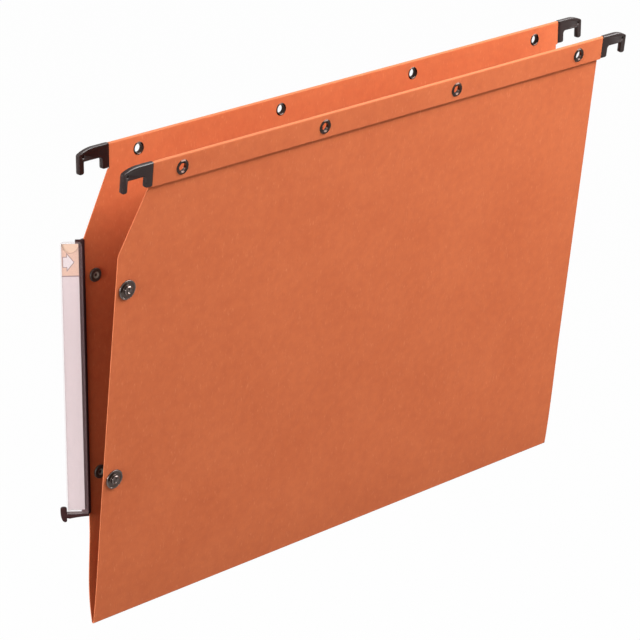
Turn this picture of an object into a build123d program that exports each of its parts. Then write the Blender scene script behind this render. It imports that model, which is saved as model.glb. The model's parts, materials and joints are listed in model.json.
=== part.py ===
from build123d import *

import os
from math import cos, radians, sin, sqrt

# A hanging file folder for a cupboard with two parallel rails, in millimetres.
# X runs along the folder's own rails, Y from its front half to its back half, +Z is up.
# The origin is the middle of the four hook seats, where the cupboard rails carry it.

# The folder as a whole
hook_pitch = 330.0  # between the middles of the two hook gaps on one rail
panel_height = 240.0  # from the bottom crease to the top of the strip
rest_half_angle = 3.5  # degrees that each half leans out while it hangs
card_thickness = 0.45
card_offset = 0.3  # from the plane through the crease axis to a half's inner face
running_gap = 0.3  # between pieces that move against each other
seat_gap = 0.05  # around a piece that is fixed in another
cut_overrun = 2.0  # how far cuts run past the faces they open

# The card's outline
strip_height = 12.4  # the folded-over strip at the top
left_reach = 16.8  # left edge, past the end of the strip
right_inset = 1.2  # right edge, short of the end of the strip
oblique_step = 0.8  # start of the oblique corner, past the end of the strip
oblique_drop = 44.0  # end of the oblique corner, below the top
oblique_round = 8.0

# Rails
rail_thickness = 0.8
rail_height = 10.4
rail_inset = 0.5  # rail end, inside the strip's end
tongue_reach = 12.0  # rail tongue, past the end of the strip
tongue_height = 3.4
tongue_drop = 1.8  # top of the tongue, below the top of the strip

# Hooks
hook_inner_leg = 4.4
hook_gap = 10.8
hook_outer_leg = 3.2
hook_arch = 6.0  # from the top of the strip to the seat
hook_depth = 12.0
hook_thickness = 2.5
hook_root_thickness = 2.1
hook_ramp = 2.0  # length over which the root swells to full thickness
hook_straight = 9.0  # straight part of the top edge
hook_fall = 2.4  # fall of the top edge at the outer end
hook_corner_round = 1.2
seat_inner_round = 1.5
leg_chamfer = 0.7

# Eyelets
eyelet_count = 4
eyelet_pitch = 91.4
eyelet_drop = 6.6  # below the top of the strip
eyelet_bore = 4.5
eyelet_wall = 0.3
eyelet_flange = 7.5
eyelet_curl = 6.4
eyelet_dome = 0.8

# Press studs
stud_inset = 6.7  # from the left edge
stud_drop = 62.3  # upper stud, below the top of the strip
stud_pitch = 100.0
stud_flange = 10.0
stud_flange_thickness = 0.5
stud_boss = 4.8
stud_boss_height = 2.0
stud_boss_chamfer = 0.5
stud_post = 3.2
socket_wall = 0.85
socket_floor = 0.45
cap_diameter = 6.8
cap_height = 0.9

# Label holder
holder_angle = 40.0  # degrees that the sleeve is turned out of the card's plane
sleeve_drop = 44.0  # top of the sleeve, below the top of the strip
sleeve_length = 137.0
sleeve_width = 10.2
sleeve_thickness = 2.4
sleeve_standoff = 0.4  # from the spine to the sleeve's near edge
sleeve_margin = 1.5  # solid edge beside the spine
sleeve_floor = 1.6
sleeve_corner_round = 1.8
pocket_width = 8.2
pocket_thickness = 0.6
notch_depth = 5.0
spine_thickness = 0.7
spine_rise = 0.8  # top of the spine, above the sleeve
spine_inner_lip = 0.5
lip_inner_thickness = 0.5
lip_outer_thickness = 0.8
rib_width = 3.6
rib_thickness = 1.0
foot_height = 1.8
foot_front = 0.6  # how far the foot stands out in front of the sleeve
tab_width = 2.6
tab_height = 7.6
tab_thickness = 1.6
tab_below = 1.4  # how far the tab hangs below the foot
tab_round = 1.0

# Paper label
label_thickness = 0.3
label_drop = 0.6  # top of the label, below the top of the sleeve

# Sizes that follow from those above
lean = radians(rest_half_angle)
strip_half = (hook_pitch - hook_gap) / 2 - hook_inner_leg
left_edge = strip_half + left_reach
right_edge = strip_half - right_inset
strip_bottom = panel_height - strip_height
card_outer = card_offset + card_thickness
rail_face = card_outer + seat_gap
rail_middle = rail_face + rail_thickness / 2
strip_outer = rail_face + rail_thickness + seat_gap + card_thickness
fold_round = (strip_outer - card_offset) / 2
bend_height = panel_height - fold_round
crease_radius = card_outer
front_start = sqrt((crease_radius + running_gap) ** 2 - card_offset**2)
hook_length = hook_inner_leg + hook_gap + hook_outer_leg
eyelet_height = panel_height - eyelet_drop
eyelet_places = [eyelet_pitch * (i - (eyelet_count - 1) / 2) for i in range(eyelet_count)]
eyelet_hole = eyelet_bore / 2 + eyelet_wall + seat_gap
stud_place = left_edge - stud_inset
stud_heights = {
    "upper": panel_height - stud_drop,
    "lower": panel_height - stud_drop - stud_pitch,
}
post_hole = stud_post / 2 + seat_gap
seat_height = panel_height - hook_arch
crease_z = rail_middle * sin(lean) - seat_height * cos(lean)
label_width = pocket_width - running_gap
label_length = sleeve_length - sleeve_floor - running_gap - label_drop

# Each half has its own plane: its origin on the crease axis, y up along the card and
# z out of the folder. The back half's x runs the other way, so hand turns it round.
hands = {"front": 1, "back": -1}
halves = {
    side: Plane(
        origin=(0, 0, crease_z),
        x_dir=(hand, 0, 0),
        z_dir=(0, -hand * cos(lean), -sin(lean)),
    )
    for side, hand in hands.items()
}

os.makedirs("parts", exist_ok=True)


def keep(piece, name):
    """Name a finished piece and write its file."""
    piece.label = name
    export_step(piece, f"parts/{name}.step")


def across(half, x=0):
    """A plane square to the rails, with outward as its x and up the card as its y."""
    return Plane(
        origin=half.from_local_coords((x, 0, 0)), x_dir=half.z_dir, z_dir=-half.x_dir
    )


def radial(half, x, height):
    """A plane through the axis of a rivet, with its radius as x and outward as y."""
    return Plane(
        origin=half.from_local_coords((x, height, 0)), x_dir=half.x_dir, z_dir=-half.y_dir
    )


def turned(plane):
    """Spin the pending profile round the rivet's axis."""
    revolve(axis=Axis(plane.origin, plane.y_dir))


def card_half(side):
    """One half of the card, folded over its rail at the top."""
    half, hand = halves[side], hands[side]
    start = front_start if side == "front" else 0
    oblique_end = (-hand * left_edge, panel_height - oblique_drop)
    with BuildPart() as card:
        with BuildSketch(half.offset(card_offset)) as sheet:
            with BuildLine():
                Polyline(
                    (-hand * left_edge, start),
                    oblique_end,
                    (-hand * (strip_half + oblique_step), strip_bottom),
                    (-hand * strip_half, strip_bottom),
                    (-hand * strip_half, bend_height),
                    (hand * strip_half, bend_height),
                    (hand * strip_half, strip_bottom),
                    (hand * right_edge, strip_bottom),
                    (hand * right_edge, start),
                    close=True,
                )
            make_face()
            fillet(sheet.vertices().sort_by_distance(oblique_end)[0], oblique_round)
        extrude(amount=card_thickness)
        # The strip: up over the rail and down again on the outside
        with BuildSketch(across(half)):
            with BuildLine():
                Line((card_offset, strip_bottom), (card_offset, bend_height))
                ThreePointArc(
                    (card_offset, bend_height),
                    (card_offset + fold_round, panel_height),
                    (strip_outer, bend_height),
                )
                Polyline(
                    (strip_outer, bend_height),
                    (strip_outer, strip_bottom),
                    (strip_outer - card_thickness, strip_bottom),
                    (strip_outer - card_thickness, bend_height),
                )
                ThreePointArc(
                    (strip_outer - card_thickness, bend_height),
                    (card_offset + fold_round, panel_height - card_thickness),
                    (card_outer, bend_height),
                )
                Polyline(
                    (card_outer, bend_height),
                    (card_outer, strip_bottom),
                    (card_offset, strip_bottom),
                )
            make_face()
        extrude(amount=strip_half, both=True)
        # The round of the bottom crease belongs to the back half
        if side == "back":
            with BuildSketch(across(half, left_edge)):
                Circle(crease_radius)
                Circle(card_offset, mode=Mode.SUBTRACT)
                with Locations((0, crease_radius)):
                    Rectangle(2 * crease_radius, 2 * crease_radius, mode=Mode.SUBTRACT)
            extrude(amount=left_edge + right_edge)
        # Holes for the eyelets and the stud posts
        with BuildSketch(half.offset(card_offset)):
            with Locations(*[(x, eyelet_height) for x in eyelet_places]):
                Circle(eyelet_hole)
            with Locations(*[(-hand * stud_place, v) for v in stud_heights.values()]):
                Circle(post_hole)
        extrude(amount=strip_outer + cut_overrun, mode=Mode.SUBTRACT)
    return card.part


def steel_rail(side):
    """The flat bar inside the strip, with a narrow tongue at each end."""
    with BuildPart() as rail:
        with BuildSketch(halves[side].offset(rail_face)):
            with Locations((0, bend_height - rail_height / 2)):
                Rectangle(2 * (strip_half - rail_inset), rail_height)
            with Locations((0, panel_height - tongue_drop - tongue_height / 2)):
                Rectangle(2 * (strip_half + tongue_reach), tongue_height)
            with Locations(*[(x, eyelet_height) for x in eyelet_places]):
                Circle(eyelet_hole, mode=Mode.SUBTRACT)
        extrude(amount=rail_thickness)
    return rail.part


def hook(side, end):
    """A moulded hook: an arch with two legs, pushed over the rail's tongue."""
    half = halves[side]
    way = hands[side] * end
    middle = half.offset(rail_middle)

    def at(out, down):
        return (way * (strip_half + out), panel_height - down)

    gap_out = hook_inner_leg + hook_gap
    leg_corners = [at(x, hook_depth) for x in (hook_length, gap_out, hook_inner_leg)]
    with BuildPart() as moulding:
        with BuildSketch(middle) as outline:
            with BuildLine():
                Line(at(seat_gap, 0), at(hook_straight, 0))
                TangentArc(
                    at(hook_straight, 0), at(hook_length, hook_fall), tangent=(way, 0)
                )
                Polyline(
                    at(hook_length, hook_fall),
                    at(hook_length, hook_depth),
                    at(gap_out, hook_depth),
                    at(gap_out, hook_arch),
                    at(hook_inner_leg, hook_arch),
                    at(hook_inner_leg, hook_depth),
                    at(seat_gap, hook_depth),
                    at(seat_gap, 0),
                )
            make_face()
            for corner in leg_corners:
                chamfer(outline.vertices().sort_by_distance(corner)[0], leg_chamfer)
            shoulder = outline.vertices().sort_by_distance(at(hook_length, hook_fall))
            fillet(shoulder[0], hook_corner_round)
            seat_corner = outline.vertices().sort_by_distance(at(hook_inner_leg, hook_arch))
            fillet(seat_corner[0], seat_inner_round)
        extrude(amount=hook_thickness / 2, both=True)
        # Seen from above, the root swells from the strip's thickness to the hook's own
        root = Plane(
            origin=middle.from_local_coords((way * strip_half, panel_height, 0)),
            x_dir=way * half.x_dir,
            z_dir=half.y_dir,
        )
        with BuildSketch(root):
            with BuildLine():
                Polyline(
                    (0, -hook_root_thickness / 2),
                    (hook_ramp, -hook_thickness / 2),
                    (hook_length + cut_overrun, -hook_thickness / 2),
                    (hook_length + cut_overrun, hook_thickness / 2),
                    (hook_ramp, hook_thickness / 2),
                    (0, hook_root_thickness / 2),
                    close=True,
                )
            make_face()
        extrude(amount=hook_depth + cut_overrun, both=True, mode=Mode.INTERSECT)
        # Slot for the rail's tongue
        with BuildSketch(middle):
            with Locations(
                at((tongue_reach + seat_gap) / 2, tongue_drop + tongue_height / 2)
            ):
                Rectangle(tongue_reach + seat_gap, tongue_height + 2 * seat_gap)
        extrude(
            amount=rail_thickness / 2 + seat_gap, both=True, mode=Mode.SUBTRACT
        )
    return moulding.part


def eyelets(side):
    """The rolled eyelets that rivet the strip to its rail."""
    half = halves[side]
    bore = eyelet_bore / 2
    with BuildPart() as row:
        for x in eyelet_places:
            plane = radial(half, x, eyelet_height)
            with BuildSketch(plane):
                with BuildLine():
                    Polyline(
                        (bore + eyelet_wall, strip_outer),
                        (eyelet_flange / 2, strip_outer),
                        (bore, strip_outer + eyelet_dome),
                        (bore, card_offset - eyelet_dome),
                        (eyelet_curl / 2, card_offset),
                        (bore + eyelet_wall, card_offset),
                        close=True,
                    )
                make_face()
            turned(plane)
    return row.part


def stud_foot(inner):
    """Profile points of a stud's foot: its post through the card and its flange."""
    flange_top = card_outer + stud_flange_thickness
    return [
        (0, card_offset + seat_gap),
        (stud_post / 2, card_offset + seat_gap),
        (stud_post / 2, card_outer),
        (stud_flange / 2, card_outer),
        (stud_flange / 2, flange_top),
        (inner, flange_top),
    ]


def press_stud(side, height):
    """Male stud: a boss with a chamfered nose on a round flange."""
    plane = radial(halves[side], -hands[side] * stud_place, height)
    boss = stud_boss / 2
    nose = card_outer + stud_boss_height
    with BuildPart() as stud:
        with BuildSketch(plane):
            with BuildLine():
                Polyline(
                    *stud_foot(boss),
                    (boss, nose - stud_boss_chamfer),
                    (boss - stud_boss_chamfer, nose),
                    (0, nose),
                    close=True,
                )
            make_face()
        turned(plane)
    return stud.part


def press_socket(side, height):
    """Female half: a ring that the next folder's boss snaps into."""
    plane = radial(halves[side], -hands[side] * stud_place, height)
    bore = stud_boss / 2 + seat_gap
    wall = bore + socket_wall
    mouth = card_outer + stud_boss_height
    with BuildPart() as socket:
        with BuildSketch(plane):
            with BuildLine():
                Polyline(
                    *stud_foot(wall),
                    (wall, mouth),
                    (bore, mouth),
                    (bore, card_outer + socket_floor),
                    (0, card_outer + socket_floor),
                    close=True,
                )
            make_face()
        turned(plane)
    return socket.part


def stud_cap(side, height):
    """Round cap on the inside of the card, riveted to the post's end."""
    with BuildPart() as cap:
        with BuildSketch(halves[side].offset(card_offset)):
            with Locations((-hands[side] * stud_place, height)):
                Circle(cap_diameter / 2)
        extrude(amount=-cap_height)
    return cap.part


# The label holder stands on the left edge of the back half. Its plan plane has +X as x,
# out of the folder as y and up the card as z. The sleeve's plane is turned out of that
# one at the spine's inner corner, with the sleeve's width as x, its face as y and up as z.
back = halves["back"]
sleeve_bottom = panel_height - sleeve_drop - sleeve_length
spine_front = card_offset - lip_inner_thickness - seat_gap
spine_back = card_outer + seat_gap + lip_outer_thickness
spine_outer_lip = stud_inset - stud_flange / 2 - running_gap  # up to the sockets
plan = Plane(
    origin=back.from_local_coords((left_edge, sleeve_bottom, 0)),
    x_dir=-back.x_dir,
    z_dir=back.y_dir,
)
turn = radians(180 - holder_angle)
corner = Plane(
    origin=plan.from_local_coords((-spine_thickness, spine_front, 0)),
    x_dir=cos(turn) * plan.x_dir + sin(turn) * plan.y_dir,
    z_dir=plan.z_dir,
)
label_plane = Plane(
    origin=corner.from_local_coords((0, seat_gap + sleeve_thickness / 2, 0)),
    x_dir=corner.x_dir,
    z_dir=corner.z_dir,
)
sleeve_back = -sleeve_thickness / 2
sleeve_far = sleeve_standoff + sleeve_width
pocket_middle = sleeve_standoff + sleeve_margin + pocket_width / 2


def label_carrier():
    """Black spine clipped on the card's edge, with a foot under the sleeve and a pull tab."""
    foot_low = -seat_gap - foot_height
    rise = sleeve_length + spine_rise - foot_low
    rib_back = sleeve_back - seat_gap - rib_thickness
    foot_depth = sleeve_thickness / 2 + foot_front - rib_back
    with BuildPart() as carrier:
        with BuildSketch(plan.offset(foot_low)):
            with BuildLine():
                Polyline(
                    (-spine_thickness, spine_front),
                    (spine_inner_lip, spine_front),
                    (spine_inner_lip, spine_front + lip_inner_thickness),
                    (-seat_gap, spine_front + lip_inner_thickness),
                    (-seat_gap, card_outer + seat_gap),
                    (spine_outer_lip, card_outer + seat_gap),
                    (spine_outer_lip, spine_back),
                    (-spine_thickness, spine_back),
                    close=True,
                )
            make_face()
        extrude(amount=rise)
        with BuildSketch(label_plane.offset(foot_low)):
            with Locations((rib_width / 2, rib_back + rib_thickness / 2)):
                Rectangle(rib_width, rib_thickness)
        extrude(amount=rise)
        # The foot closes under the sleeve and reaches out to the tab
        with BuildSketch(label_plane.offset(foot_low)):
            with Locations(((sleeve_far + seat_gap) / 2, rib_back + foot_depth / 2)):
                Rectangle(sleeve_far + seat_gap, foot_depth)
        extrude(amount=foot_height)
        tab_plane = Plane(
            origin=label_plane.from_local_coords((sleeve_far + seat_gap, 0, 0)),
            x_dir=label_plane.x_dir,
            z_dir=label_plane.y_dir,
        )
        with BuildSketch(tab_plane) as tab:
            with Locations((tab_width / 2, tab_height / 2 + foot_low - tab_below)):
                Rectangle(tab_width, tab_height)
            fillet(tab.vertices(), tab_round)
        extrude(amount=tab_thickness / 2, both=True)
    return carrier.part


def label_sleeve():
    """Clear flat sleeve, open at the top, with a thumb notch in its front wall."""
    front = Plane(
        origin=label_plane.origin, x_dir=label_plane.x_dir, z_dir=-label_plane.y_dir
    )
    with BuildPart() as sleeve:
        with BuildSketch(front) as outline:
            with Locations((sleeve_standoff + sleeve_width / 2, sleeve_length / 2)):
                Rectangle(sleeve_width, sleeve_length)
            fillet(outline.vertices().group_by(Axis.Y)[-1], sleeve_corner_round)
        extrude(amount=sleeve_thickness / 2, both=True)
        with BuildSketch(label_plane.offset(sleeve_floor)):
            with Locations((pocket_middle, 0)):
                Rectangle(pocket_width, pocket_thickness)
        extrude(amount=sleeve_length, mode=Mode.SUBTRACT)
        with BuildSketch(front):
            with Locations((pocket_middle, sleeve_length)):
                Ellipse(pocket_width / 2, notch_depth)
        extrude(amount=-(sleeve_thickness / 2 + cut_overrun), mode=Mode.SUBTRACT)
    return sleeve.part


def paper_label():
    """The paper strip that slides into the sleeve from above."""
    with BuildPart() as label:
        with BuildSketch(label_plane.offset(sleeve_floor + running_gap)):
            with Locations((pocket_middle, 0)):
                Rectangle(label_width, label_thickness)
        extrude(amount=label_length)
    return label.part


for side in halves:
    keep(card_half(side), f"{side}_panel")
    keep(steel_rail(side), f"{side}_rail")
    keep(hook(side, -1), f"{side}_left_hook")
    keep(hook(side, 1), f"{side}_right_hook")
    keep(eyelets(side), f"{side}_eyelets")
    for level, height in stud_heights.items():
        if side == "front":
            keep(press_stud(side, height), f"{side}_{level}_stud")
        else:
            keep(press_socket(side, height), f"{side}_{level}_socket")
        keep(stud_cap(side, height), f"{side}_{level}_cap")
keep(label_carrier(), "label_carrier")
keep(label_sleeve(), "label_sleeve")
keep(paper_label(), "paper_label")
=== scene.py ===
"""Looks of a hanging file folder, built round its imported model."""

import json
import math
from typing import NamedTuple

import bmesh
import bpy
from mathutils import Matrix, Vector


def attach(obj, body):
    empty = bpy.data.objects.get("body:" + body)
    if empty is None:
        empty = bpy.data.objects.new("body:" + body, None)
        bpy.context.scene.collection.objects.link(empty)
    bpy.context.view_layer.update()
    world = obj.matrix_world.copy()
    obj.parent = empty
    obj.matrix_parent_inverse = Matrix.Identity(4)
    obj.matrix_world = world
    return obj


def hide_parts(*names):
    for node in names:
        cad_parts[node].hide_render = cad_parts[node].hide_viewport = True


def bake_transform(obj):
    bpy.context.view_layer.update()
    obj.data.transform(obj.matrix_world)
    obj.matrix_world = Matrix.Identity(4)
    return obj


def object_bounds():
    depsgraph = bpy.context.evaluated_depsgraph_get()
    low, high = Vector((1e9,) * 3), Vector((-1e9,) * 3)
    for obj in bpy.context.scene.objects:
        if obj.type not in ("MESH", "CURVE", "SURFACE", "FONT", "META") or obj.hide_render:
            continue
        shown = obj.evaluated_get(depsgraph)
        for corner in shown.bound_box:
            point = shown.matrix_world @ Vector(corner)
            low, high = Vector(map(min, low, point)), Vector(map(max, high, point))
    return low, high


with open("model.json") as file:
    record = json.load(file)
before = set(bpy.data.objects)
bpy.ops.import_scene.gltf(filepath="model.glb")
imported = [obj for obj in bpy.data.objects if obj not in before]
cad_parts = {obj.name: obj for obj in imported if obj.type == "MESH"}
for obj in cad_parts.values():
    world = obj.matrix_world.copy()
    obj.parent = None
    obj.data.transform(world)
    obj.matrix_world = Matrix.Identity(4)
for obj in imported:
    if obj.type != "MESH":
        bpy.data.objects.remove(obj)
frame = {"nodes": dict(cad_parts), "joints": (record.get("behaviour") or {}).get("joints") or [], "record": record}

bl_info = {
    "name": "Hanging file folder",
    "version": (1, 0, 0),
    "blender": (4, 5, 0),
    "location": "View3D > Sidebar > Folder",
    "description": "Dresses the packed model of a hanging file folder in card, metal, plastic and paper",
    "category": "Object",
}

MILLI = 0.001

# What the frame says: its box, its mounts and the crease that the two halves turn on
cad_low, cad_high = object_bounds()
nodes = frame["nodes"]
mounts = {mount["name"]: mount for mount in frame["record"]["mounts"]}
joints = {joint["name"]: joint for joint in frame["joints"]}
sides = ("front", "back")
levels = ("upper", "lower")
ends = ("left", "right")
crease = Vector(joints["fold"]["pos_m"])
along = Vector((1, 0, 0))
up = {side: -Vector(mounts[f"{side}_left_seat"]["axis"]) for side in sides}
fastener = {"front": "press_stud", "back": "press_socket"}
out = {side: Vector(mounts[f"{side}_upper_{fastener[side]}"]["axis"]) for side in sides}

# How finely pieces are merged, bevelled, smoothed and turned
MERGE = 0.0001 * MILLI
FLAT_ANGLE = math.radians(0.2)
BEVEL_ANGLE = math.radians(25)
SMOOTH_ANGLE = math.radians(35)
TURN_STEPS = 48

# Cosines between a face's normal and an axis, above which the face
SLANT = 0.3  # no longer lies along the axis
WALL = 0.8  # belongs to a wall of the sleeve and not to an edge
FACING = 0.9  # looks along the axis
SQUARE = 0.95  # is a broad face and not a chamfer

# Ranges of noise that a finish maps to its two ends, gently or sharply
GENTLE = (0.3, 0.7)
SHARP = (0.35, 0.65)


def span(node, axis):
    """Lowest and highest reach of a node along an axis, from the crease."""
    reaches = [(vertex.co - crease).dot(axis) for vertex in nodes[node].data.vertices]
    return min(reaches), max(reaches)


def half_width(node, axis):
    """Half of a node's reach along an axis."""
    low, high = span(node, axis)
    return (high - low) / 2


def on_half(side, point):
    """A point in a half's own terms: along the rails, up the card and out of the folder."""
    offset = Vector(point) - crease
    return Vector((offset.x, offset.dot(up[side]), offset.dot(out[side])))


def place(side, x, height, outward):
    """The point of a half that lies there."""
    return crease + x * along + height * up[side] + outward * out[side]


# The card's faces and its top, measured on the front half
card_inner, strip_outer = span("front_panel", out["front"])
card_top = span("front_panel", up["front"])[1]

# The label faces outward and forward, and its width runs away from the card
label_up = Vector(joints["label_slide"]["axis"])
label_face = max(nodes["paper_label"].data.polygons, key=lambda face: face.area).normal.copy()
if label_face.y > 0:
    label_face.negate()
label_across = label_face.cross(label_up)


def looks(face, axis):
    """Whether a face looks along an axis."""
    return face.normal.dot(axis) > FACING


def slants(face, axis):
    """Whether a face stands at a slant to an axis."""
    return SLANT < abs(face.normal.dot(axis)) < SQUARE


def round_axis(point, centre, axis):
    """A point's distance from an axis, and its height along it."""
    offset = point - centre
    height = offset.dot(axis)
    return (offset - height * axis).length, height


def length(title, description, millimetres):
    """A size in millimetres, as a property in metres."""
    return bpy.props.FloatProperty(
        name=title, description=description, default=millimetres * MILLI, unit="LENGTH", precision=5
    )


def angle(title, description, degrees):
    """An angle in degrees, as a property in radians."""
    return bpy.props.FloatProperty(
        name=title, description=description, default=math.radians(degrees), subtype="ANGLE"
    )


def count(title, description, number):
    """A whole number, as a property."""
    return bpy.props.IntProperty(name=title, description=description, default=number, min=1)


def share(title, description, part):
    """A part of one, as a property."""
    return bpy.props.FloatProperty(
        name=title, description=description, default=part, subtype="FACTOR", min=0, max=1
    )


def colour(title, description, red, green, blue):
    """A colour, as a property in linear light."""
    return bpy.props.FloatVectorProperty(
        name=title, description=description, default=(red, green, blue), subtype="COLOR", min=0, max=1
    )


class FolderSizes(bpy.types.PropertyGroup):
    """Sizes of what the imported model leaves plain."""

    card_thickness: length("Card thickness", "Thickness of the kraft card", 0.45)
    back_bow: length("Back bow", "How far the back half bows out above the crease", 1.6)
    front_bow: length("Front bow", "How far the front half bows out above the crease", 0.4)
    back_bow_end: length("Back bow end", "Height of the back bow, up to the label carrier's tab", 53)
    front_bow_end: length("Front bow end", "Height of the front bow, up to the lower stud", 70)
    bow_rows: count("Bow rows", "Rows of faces in the bowed part of each half", 16)
    crease_reach: length("Crease reach", "How far from the crease its open edges lie", 2.0)
    hook_chamfer: length("Hook chamfer", "Chamfered edges of the hooks", 0.36)
    carrier_round: length("Carrier round", "Softened edges of the label carrier", 0.14)
    pip_radius: length("Pip radius", "Round pip that the mould leaves on each hook", 0.75)
    pip_depth: length("Pip depth", "How deep the pip is sunk", 0.6)
    pip_sink: length("Pip sink", "Width and depth of the pip's countersink", 0.3)
    pip_rise: length("Pip rise", "Middle of the pip, above the hook's seat", 2.4)
    pip_outset: length("Pip outset", "Middle of the pip, outward of the seat's middle", 5.8)
    eyelet_count: count("Eyelets", "Eyelets in each strip", 4)
    eyelet_bore: length("Eyelet bore", "Diameter of the hole through an eyelet", 4.5)
    eyelet_mouth: length("Eyelet mouth", "Diameter of the hole inside the bead, where it rolls in", 4.0)
    curl_mouth: length("Curl mouth", "Diameter of the hole inside the curl, where it flares", 4.8)
    bead_round: length("Bead round", "Radius of the round on a bead's crest", 0.2)
    eyelet_curl: length("Eyelet curl", "Diameter of the curl on the inside of the card", 6.4)
    eyelet_wall: length("Eyelet wall", "Thickness of an eyelet's barrel", 0.3)
    eyelet_bead: length("Eyelet bead", "Height of the rolled bead outside", 0.6)
    curl_bead: length("Curl bead", "Height of the curl inside", 0.32)
    stud_rim: length("Stud rim", "Radius of a press stud's rolled rim", 0.36)
    stud_dish: length("Stud dish", "Height of the dished flange inside its rim", 0.32)
    stud_height: length("Stud height", "Height of a press stud above the card", 2.0)
    stud_nose: length("Stud nose", "Chamfer on a stud's nose", 0.6)
    stud_dimple: length("Stud dimple", "Radius of the dimple in a stud's nose", 1.2)
    stud_post: length("Stud post", "Radius of the post through the card", 1.6)
    socket_lip: length("Socket lip", "Radius of the round lip of a press socket", 0.42)
    cap_round: length("Cap round", "Radius of the round on an inner cap", 0.4)
    cap_mouth: length("Cap mouth", "Radius of the mouth of the dimple in an inner cap", 1.625)
    cap_dimple: length("Cap dimple", "Radius of the dimple inside its rounded mouth", 1.3)
    cap_floor: length("Cap floor", "Radius of the dimple's floor", 0.78)
    foot_cuts: count("Foot cuts", "Lengths that the foot is cut into for its slope", 8)
    foot_rise: length("Foot rise", "How far the foot's underside rises at the spine", 0.9)
    foot_drop: length("Foot drop", "How far the foot's underside falls at the tab", 0.6)
    tab_cuts: count("Tab cuts", "Lengths that the tab is cut into for its swell", 6)
    tab_swell: length("Tab swell", "How far the tab swells outward at its middle", 0.5)
    tab_taper: length("Tab taper", "How far the tab draws in at its lower end", 0.9)
    sleeve_round: length("Sleeve round", "Softened edges of the clear sleeve", 0.16)
    label_head: length("Label head", "Height of the label's coloured head", 15.6)
    label_rule: length("Label rule", "Thickness of the rule under the head", 0.55)
    arrow_drop: length("Arrow drop", "Middle of the arrow, below the label's top", 9.0)
    arrow_shift: length("Arrow shift", "Middle of the arrow, away from the label's middle and the card", 0.8)
    arrow_length: length("Arrow length", "From the arrow's tail to its tip", 5.6)
    arrow_height: length("Arrow height", "Height of the arrow's head", 9.4)
    arrow_head: length("Arrow head", "Length of the arrow's head", 3.7)
    arrow_shaft: length("Arrow shaft", "Height of the arrow's shaft", 5.4)
    arrow_line: length("Arrow line", "Thickness of the arrow's outline", 0.32)
    arrow_film: length("Arrow film", "Thickness of the printed arrow on the label", 0.02)


class FolderColours(bpy.types.PropertyGroup):
    """Colours of the pieces."""

    card: colour("Card", "Orange kraft card", 0.70, 0.172, 0.060)
    card_dark: colour("Card, dark", "Darker patches of the kraft card", 0.60, 0.130, 0.042)
    card_pale: colour("Card, pale", "Pale fibres of the kraft card", 0.80, 0.27, 0.12)
    # Paler colour of the card's cut edges, which also paints the highlight along the round of the top folds
    edge_and_fold_highlight: colour("Card edge", "Cut edges and worn folds of the card", 0.74, 0.235, 0.10)
    moulding: colour("Moulding", "Brown-black plastic of the hooks", 0.022, 0.0092, 0.0078)
    carrier: colour("Carrier", "Plum-black plastic of the label carrier", 0.045, 0.017, 0.017)
    # Dark nickel, tinted red-brown: partly the metal's own dark colour, partly a painted reflection of the orange
    # card round the eyelets
    nickel: colour("Eyelets", "Dark nickel of the eyelets", 0.056, 0.035, 0.029)
    gunmetal: colour("Press studs", "Gunmetal of the studs and sockets", 0.075, 0.050, 0.040)
    # Brighter gunmetal on rims and noses: partly rubbed wear, partly a painted highlight that stands in for the
    # light they catch
    rubbed: colour("Rubbed rims", "Gunmetal where rims and noses are rubbed", 0.15, 0.118, 0.108)
    lacquer: colour("Caps", "Dark lacquer of the inner caps", 0.055, 0.042, 0.034)
    # Painted highlight: a pale grey lacquer on the slopes of each cap's dimple stands in for the light that they
    # catch
    lacquer_painted_highlight: colour("Caps, worn", "Lacquer worn grey round the dimple of a cap", 0.34, 0.335, 0.28)
    steel: colour("Rails", "Rolled steel of the rails", 0.50, 0.50, 0.50)
    sleeve: colour("Sleeve", "Clear plastic of the sleeve", 0.90, 0.60, 0.62)
    # Painted shade: the sleeve's edges are coloured darker to stand in for the darkening that refraction gives
    # clear plastic
    sleeve_edge: colour("Sleeve edge", "Edges of the clear sleeve", 0.34, 0.27, 0.26)
    paper: colour("Label", "Lilac-white paper of the label", 0.85, 0.765, 0.775)
    paper_head: colour("Label head", "Peach head of the label", 0.90, 0.62, 0.47)
    paper_rule: colour("Label rule", "Mauve-grey rule and outline", 0.30, 0.21, 0.21)
    arrow: colour("Arrow", "White fill of the arrow", 0.93, 0.88, 0.89)


class FolderStage(bpy.types.PropertyGroup):
    """Camera, floor and lamps."""

    azimuth: angle("Azimuth", "Camera's turn round the folder from straight in front", -45.12)
    elevation: angle("Elevation", "Camera's angle above the horizon", 23.23)
    roll: angle("Roll", "Camera's turn about its own line of sight", 2.89)
    lens: bpy.props.FloatProperty(
        name="Lens", description="Focal length of the camera", default=173.8, unit="CAMERA"
    )
    distance: length("Distance", "From the camera to the point that it looks at", 1548)
    target_x: length("Target along", "Point that the camera looks at, along the rails", -26.3)
    target_z: length("Target height", "Point that the camera looks at, above the seats", -112.3)
    floor_size: length("Floor size", "Side of the square floor", 40000)
    floor_room: length("Floor room", "Room under the folder when its front hangs open", 30)
    floor_grey: share("Floor grey", "How much light the floor throws back at the folder", 0.3)
    floor_glow: share("Floor glow", "How much of the floor's shadow white light covers", 0.985)
    ambient: share("Ambient", "Strength of the light from all round", 0.12)


class Lamp(NamedTuple):
    """A lamp's place from the folder's middle, its two sides and its power in watts."""

    offset: tuple
    long: float
    wide: float
    power: float


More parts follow.
